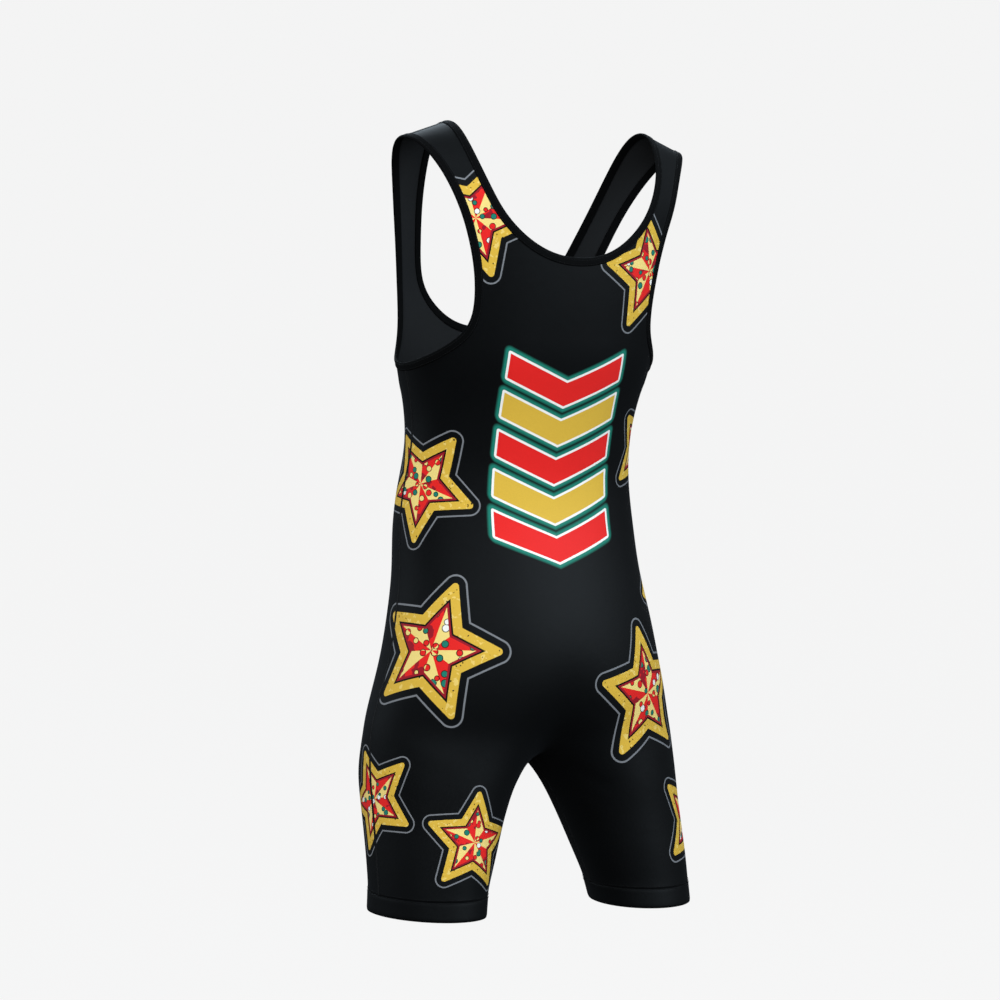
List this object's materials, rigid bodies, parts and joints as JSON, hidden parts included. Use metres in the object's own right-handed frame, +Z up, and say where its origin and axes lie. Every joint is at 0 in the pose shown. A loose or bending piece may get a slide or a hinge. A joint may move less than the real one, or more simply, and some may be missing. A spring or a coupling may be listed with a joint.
{
  "type": "wrestling singlet",
  "caption": "Sleeveless one-piece wrestling suit with short legs, in its worn, hollow form, open at the neck, armholes and leg hems.",
  "frame": {"origin": "midway between the two shoulder straps, level with the top of the shoulders that carry them", "axes": "+Z up as worn, the wearer faces -Y, +X is the wearer's left"},
  "size_m": [0.3916, 0.2491, 0.8682],
  "materials": {
    "printed_knit": "smooth warp knit, near black with a sublimated print, slight sheen",
    "binding_tape": "matt black folded knit tape"
  },
  "bodies": {
    "root": {"back_panel": "printed_knit", "front_panel": "printed_knit", "neck_binding": "binding_tape", "left_armhole_binding": "binding_tape", "right_armhole_binding": "binding_tape", "left_leg_hem": "printed_knit", "right_leg_hem": "printed_knit"}
  },
  "joints": []
}
